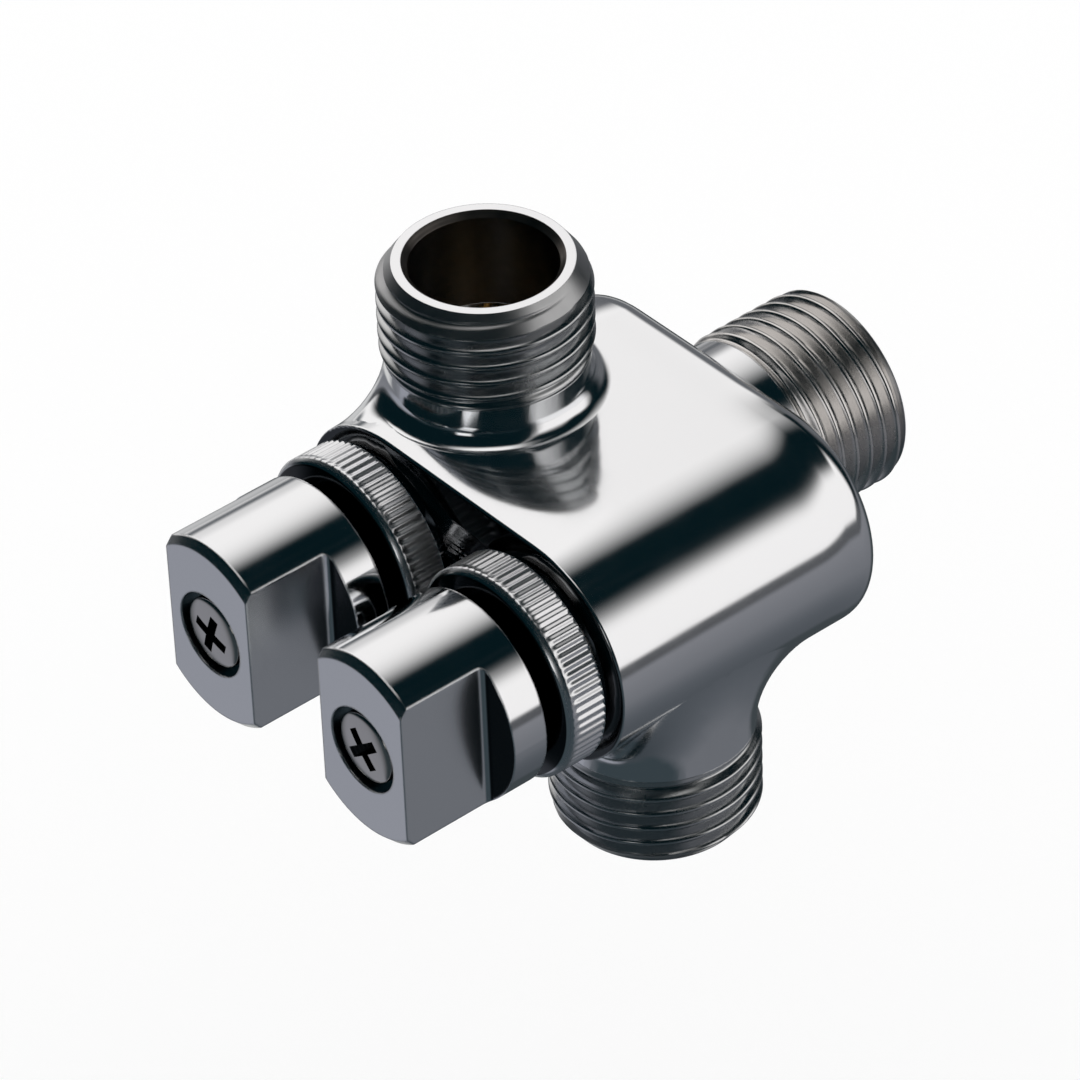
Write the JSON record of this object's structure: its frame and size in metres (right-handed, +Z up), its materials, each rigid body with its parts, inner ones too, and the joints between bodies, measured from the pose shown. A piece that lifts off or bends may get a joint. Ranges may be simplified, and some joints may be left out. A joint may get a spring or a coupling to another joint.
{
  "type": "shower diverter valve",
  "caption": "Chrome shower diverter body with a rear inlet, an upper and a lower outlet, all male-threaded, and quarter-turn handles side by side on knurled bonnet nuts.",
  "frame": {"origin": "centre of the rear inlet's end face, on the inlet's axis", "axes": "+Y out of the rear inlet, so the handles stand at the -Y end; +Z up, towards the end face of the top outlet; +X to the right of someone who faces the handles and looks along +Y"},
  "size_m": [0.0466, 0.07, 0.053],
  "materials": {
    "body_chrome": "bright polished chrome plate on brass",
    "nut_chrome": "bright chrome plate, finely knurled",
    "handle_chrome": "bright polished chrome plate",
    "screw_chrome": "bright chrome plate",
    "turned_brass": "turned, uncoated",
    "seal_rubber": "smooth black",
    "clip_steel": "spring steel",
    "washer_plastic": "low-friction white plastic",
    "disc_ceramic": "polished white alumina ceramic"
  },
  "bodies": {
    "fixed": {"valve_body": "body_chrome", "left_bonnet_nut": "nut_chrome", "left_cartridge_housing": "turned_brass", "left_thrust_washer": "washer_plastic", "left_housing_ring": "seal_rubber", "left_fixed_disc": "disc_ceramic", "left_seat_seal": "seal_rubber", "right_bonnet_nut": "nut_chrome", "right_cartridge_housing": "turned_brass", "right_thrust_washer": "washer_plastic", "right_housing_ring": "seal_rubber", "right_fixed_disc": "disc_ceramic", "right_seat_seal": "seal_rubber"},
    "left_control": {"left_handle": "handle_chrome", "left_handle_screw": "screw_chrome", "left_spindle": "turned_brass", "left_rear_spindle_ring": "seal_rubber", "left_front_spindle_ring": "seal_rubber", "left_retaining_clip": "clip_steel", "left_moving_disc": "disc_ceramic"},
    "right_control": {"right_handle": "handle_chrome", "right_handle_screw": "screw_chrome", "right_spindle": "turned_brass", "right_rear_spindle_ring": "seal_rubber", "right_front_spindle_ring": "seal_rubber", "right_retaining_clip": "clip_steel", "right_moving_disc": "disc_ceramic"}
  },
  "joints": [
    {"name": "left_handle_turn", "type": "hinge", "parent": "fixed", "child": "left_control", "pos_m": [-0.0114, -0.05, 0], "axis": [0, -1, 0], "range_deg": [0, 90]},
    {"name": "right_handle_turn", "type": "hinge", "parent": "fixed", "child": "right_control", "pos_m": [0.0114, -0.05, 0], "axis": [0, -1, 0], "range_deg": [0, 90]}
  ]
}
